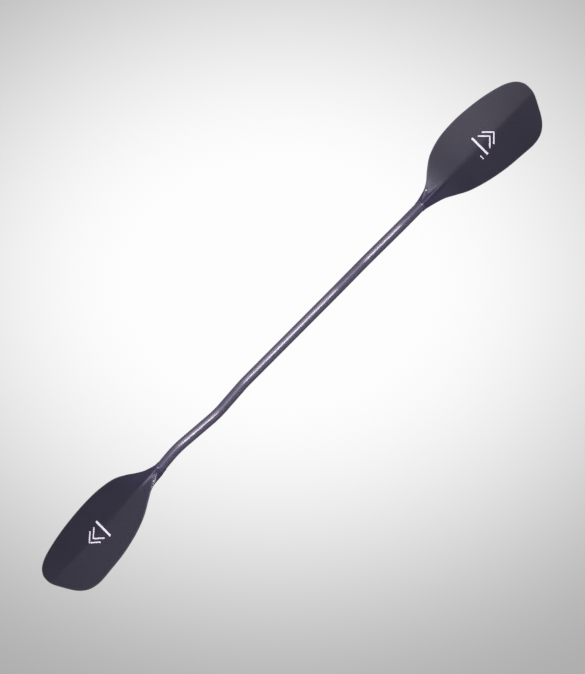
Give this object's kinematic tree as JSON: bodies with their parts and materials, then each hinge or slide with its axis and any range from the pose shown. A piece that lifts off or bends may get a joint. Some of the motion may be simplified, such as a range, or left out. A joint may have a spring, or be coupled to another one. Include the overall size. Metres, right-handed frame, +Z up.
{
  "type": "kayak paddle",
  "caption": "Bent-shaft carbon whitewater kayak paddle with feathered, spooned, asymmetric blades, lying power faces up.",
  "frame": {"origin": "middle of the footprint, on the floor that the paddle lies on", "axes": "+X along the shaft towards the right blade, +Z up, away from the floor; the power faces look up"},
  "size_m": [1.944, 0.2158, 0.0811],
  "materials": {
    "shaft_carbon": "clear-coated braided carbon tube",
    "blade_carbon": "satin woven carbon laminate",
    "neck_carbon": "satin moulded carbon",
    "edge_rope": "resin-soaked edge rope, satin",
    "foam": "closed-cell foam",
    "epoxy": "cured epoxy",
    "print": "pale printed film",
    "pin": "pale moulded plastic"
  },
  "bodies": {
    "root": {"shaft_tube": "shaft_carbon", "right_shaft_plug": "foam", "right_bond_sleeve": "epoxy", "right_neck_socket": "neck_carbon", "right_foam_core": "foam", "right_back_skin": "blade_carbon", "right_power_skin": "blade_carbon", "right_edge_rope": "edge_rope", "right_emblem": "print", "right_bar_mark": "print", "right_small_mark": "print", "right_throat_pin": "pin", "left_shaft_plug": "foam", "left_bond_sleeve": "epoxy", "left_neck_socket": "neck_carbon", "left_foam_core": "foam", "left_back_skin": "blade_carbon", "left_power_skin": "blade_carbon", "left_edge_rope": "edge_rope", "left_emblem": "print", "left_bar_mark": "print", "left_throat_pin": "pin"}
  },
  "joints": []
}
